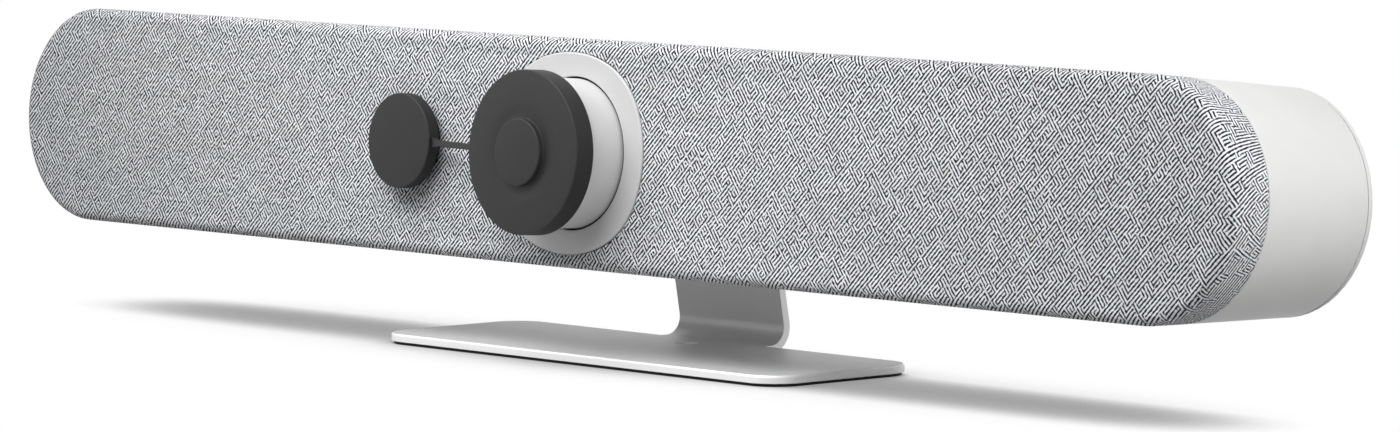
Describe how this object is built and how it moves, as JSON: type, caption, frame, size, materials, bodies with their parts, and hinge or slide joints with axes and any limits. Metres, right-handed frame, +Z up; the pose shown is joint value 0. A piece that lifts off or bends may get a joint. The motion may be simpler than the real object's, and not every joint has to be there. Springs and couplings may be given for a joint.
{
  "type": "video conference bar",
  "caption": "Long round-ended camera and speaker bar with fabric front, capped pan-tilt lens and a bent sheet-metal table stand.",
  "frame": {"origin": "centre of the stand pad's underside, on the table", "axes": "+X along the bar, +Y from the lens towards the back, +Z up"},
  "size_m": [0.91, 0.1481, 0.1636],
  "materials": {
    "casing": "satin white moulding",
    "fabric": "two-tone grey woven acoustic fabric",
    "dark_plastic": "black moulding",
    "trim": "pale grey-white trim",
    "cap_rubber": "matte dark grey silicone rubber",
    "black_rubber": "black rubber",
    "foam": "black foam",
    "glass": "coated lens glass",
    "board": "green circuit board",
    "steel": "bright steel",
    "aluminium": "brushed aluminium",
    "stand_paint": "silver powder coat with bright edges",
    "brass": "machined brass",
    "cone": "pressed black cone"
  },
  "bodies": {
    "housing": {"rear_housing": "casing", "rear_cover": "casing", "grille_frame": "dark_plastic", "grille_fabric": "fabric", "front_baffle": "dark_plastic", "lens_trim_ring": "trim", "lens_barrel": "trim", "barrel_gasket": "foam", "viewfinder_housing": "dark_plastic", "viewfinder_window": "glass", "viewfinder_camera": "aluminium", "camera_bracket": "steel", "pan_motor": "steel", "speaker_box_left": "dark_plastic", "speaker_box_right": "dark_plastic", "woofer_basket_left": "steel", "woofer_basket_right": "steel", "woofer_magnet_left": "dark_plastic", "woofer_magnet_right": "dark_plastic", "woofer_surround_left": "black_rubber", "woofer_surround_right": "black_rubber", "radiator_rings": "steel", "radiator_surrounds_left": "black_rubber", "radiator_surrounds_right": "black_rubber", "main_board": "board", "heat_sink": "aluminium", "mic_strips": "board", "mic_boots": "black_rubber", "port_panel": "dark_plastic", "power_inlet": "dark_plastic", "video_ports": "steel", "usb_ports": "steel", "network_ports": "steel", "cover_screws": "steel", "stand_bracket": "stand_paint", "stand_pad": "black_rubber", "stand_screws": "steel"},
    "lens_caps": {"main_cap": "cap_rubber", "small_cap": "cap_rubber", "cap_tether": "cap_rubber"},
    "pan_yoke": {"pan_yoke": "dark_plastic", "pan_sector": "steel", "tilt_motor": "steel"},
    "pan_pinion": {"pan_pinion": "brass"},
    "tilt_head": {"head_shell": "dark_plastic", "tilt_sector": "steel", "head_window": "glass", "lens_tube": "aluminium", "sensor_board": "board"},
    "tilt_pinion": {"tilt_pinion": "brass"},
    "zoom_group": {"zoom_group": "glass"},
    "focus_group": {"focus_group": "glass"},
    "woofer_cone_left": {"woofer_cone_left": "cone"},
    "woofer_cone_right": {"woofer_cone_right": "cone"},
    "radiator_front_left": {"radiator_front_left": "cone"},
    "radiator_front_right": {"radiator_front_right": "cone"},
    "radiator_rear_left": {"radiator_rear_left": "cone"},
    "radiator_rear_right": {"radiator_rear_right": "cone"},
    "pairing_button": {"pairing_button": "black_rubber"}
  },
  "joints": [
    {"name": "caps_pull", "type": "slide", "parent": "housing", "child": "lens_caps", "axis": [0, -0.9979, 0.0645], "range_m": [0, 0.07]},
    {"name": "camera_pan", "type": "hinge", "parent": "housing", "child": "pan_yoke", "pos_m": [0, -0.03728, 0.10548], "axis": [0, 0.0645, 0.9979], "range_deg": [-25, 25]},
    {"name": "pan_pinion_spin", "type": "hinge", "parent": "housing", "child": "pan_pinion", "pos_m": [0.01874, -0.01651, 0.10413], "axis": [0, 0.0645, 0.9979], "range_deg": [-150.5, 150.5]},
    {"name": "camera_tilt", "type": "hinge", "parent": "pan_yoke", "child": "tilt_head", "pos_m": [0, -0.03728, 0.10548], "axis": [1, 0, 0], "range_deg": [-15, 15]},
    {"name": "tilt_pinion_spin", "type": "hinge", "parent": "pan_yoke", "child": "tilt_pinion", "pos_m": [0, -0.00135, 0.10315], "axis": [1, 0, 0], "range_deg": [-120.5, 120.5]},
    {"name": "zoom_slide", "type": "slide", "parent": "tilt_head", "child": "zoom_group", "axis": [0, 0.9979, -0.0645], "range_m": [-0.006, 0.006]},
    {"name": "focus_slide", "type": "slide", "parent": "tilt_head", "child": "focus_group", "axis": [0, 0.9979, -0.0645], "range_m": [-0.002, 0.002]},
    {"name": "button_press", "type": "slide", "parent": "housing", "child": "pairing_button", "axis": [0, -0.9979, 0.0645], "range_m": [0, 0.0012], "stiffness_N_per_m": 400},
    {"name": "woofer_left_travel", "type": "slide", "parent": "housing", "child": "woofer_cone_left", "axis": [0, -0.9979, 0.0645], "range_m": [-0.003, 0.003], "stiffness_N_per_m": 3000, "deforming": ["woofer_surround_left"]},
    {"name": "radiator_front_left_travel", "type": "slide", "parent": "housing", "child": "radiator_front_left", "axis": [0, -0.9979, 0.0645], "range_m": [-0.003, 0.003], "stiffness_N_per_m": 3000, "deforming": ["radiator_surrounds_left"]},
    {"name": "radiator_rear_left_travel", "type": "slide", "parent": "housing", "child": "radiator_rear_left", "axis": [0, 0.9979, -0.0645], "range_m": [-0.003, 0.003], "stiffness_N_per_m": 3000, "deforming": ["radiator_surrounds_left"]},
    {"name": "woofer_right_travel", "type": "slide", "parent": "housing", "child": "woofer_cone_right", "axis": [0, -0.9979, 0.0645], "range_m": [-0.003, 0.003], "stiffness_N_per_m": 3000, "deforming": ["woofer_surround_right"]},
    {"name": "radiator_front_right_travel", "type": "slide", "parent": "housing", "child": "radiator_front_right", "axis": [0, -0.9979, 0.0645], "range_m": [-0.003, 0.003], "stiffness_N_per_m": 3000, "deforming": ["radiator_surrounds_right"]},
    {"name": "radiator_rear_right_travel", "type": "slide", "parent": "housing", "child": "radiator_rear_right", "axis": [0, 0.9979, -0.0645], "range_m": [-0.003, 0.003], "stiffness_N_per_m": 3000, "deforming": ["radiator_surrounds_right"]}
  ],
  "couplings": [
    {"joint": "pan_pinion_spin", "follows": "camera_pan", "ratio": -6},
    {"joint": "tilt_pinion_spin", "follows": "camera_tilt", "ratio": -8},
    {"joint": "radiator_rear_left_travel", "follows": "radiator_front_left_travel", "ratio": 1},
    {"joint": "radiator_rear_right_travel", "follows": "radiator_front_right_travel", "ratio": 1}
  ]
}
